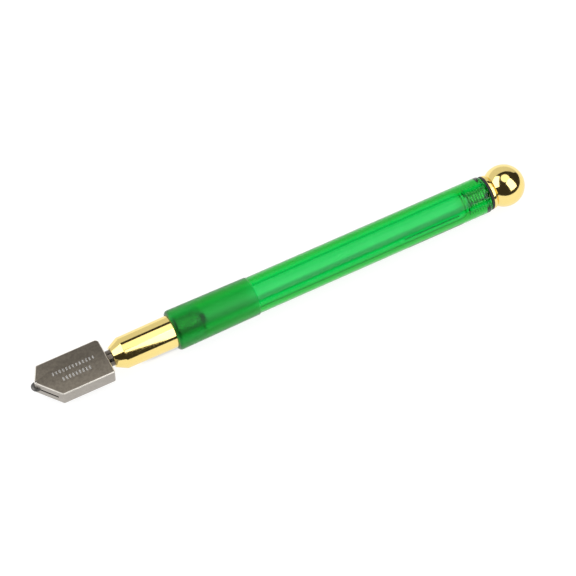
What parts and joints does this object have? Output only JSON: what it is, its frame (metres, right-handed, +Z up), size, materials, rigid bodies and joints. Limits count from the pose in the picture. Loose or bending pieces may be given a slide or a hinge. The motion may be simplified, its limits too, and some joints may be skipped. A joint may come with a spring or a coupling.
{
  "type": "glass cutter",
  "caption": "Pencil-style oil-feed glass cutter: wide steel head with a cutting wheel, brass neck, clear green reservoir handle and screw-on brass ball cap.",
  "frame": {"origin": "bottom centre of the whole tool's box, on the surface that the tool lies on", "axes": "+X along the tool from the cutting wheel to the ball cap, +Z up and square to the head's flat faces"},
  "size_m": [0.1846, 0.0148, 0.0147],
  "materials": {
    "green_acrylic": "clear tinted acrylic, satin on the grip band",
    "polished_brass": "polished",
    "satin_steel": "blasted satin",
    "bright_steel": "turned, bright",
    "dark_steel": "oiled, darkened",
    "carbide": "ground hard metal",
    "black_rubber": "matt",
    "wick_fibre": "twisted fibre",
    "dark_plastic": "matt"
  },
  "bodies": {
    "handle": {"barrel": "green_acrylic", "neck": "polished_brass", "neck_o_ring": "black_rubber", "head_set_screw": "bright_steel", "valve_seat": "black_rubber", "valve_spring": "bright_steel", "spring_retainer": "dark_plastic"},
    "head": {"cutter_head": "satin_steel", "head_stem": "dark_steel", "stem_o_ring": "black_rubber", "oil_wick": "wick_fibre", "wheel_axle": "bright_steel", "valve_ball": "bright_steel"},
    "wheel": {"cutting_wheel": "carbide"},
    "gasket": {"cap_gasket": "black_rubber"},
    "cap": {"ball_cap": "polished_brass"}
  },
  "joints": [
    {"name": "head_press", "type": "slide", "parent": "handle", "child": "head", "axis": [1, 0, 0], "range_m": [0, 0.0008], "stiffness_N_per_m": 1500, "springref_m": -0.001, "deforming": ["valve_spring"]},
    {"name": "wheel_spin", "type": "hinge", "parent": "head", "child": "wheel", "pos_m": [-0.09043, 0.00135, 0.00736], "axis": [0, 0, 1], "continuous": true},
    {"name": "cap_lift", "type": "slide", "parent": "handle", "child": "gasket", "axis": [1, 0, 0], "range_m": [0, 0.007]},
    {"name": "cap_turn", "type": "hinge", "parent": "gasket", "child": "cap", "pos_m": [0.07747, 0, 0.00736], "axis": [1, 0, 0], "range_deg": [0, 2521]}
  ],
  "couplings": [
    {"joint": "cap_turn", "follows": "cap_lift", "rad_per_m": 6283.2}
  ]
}
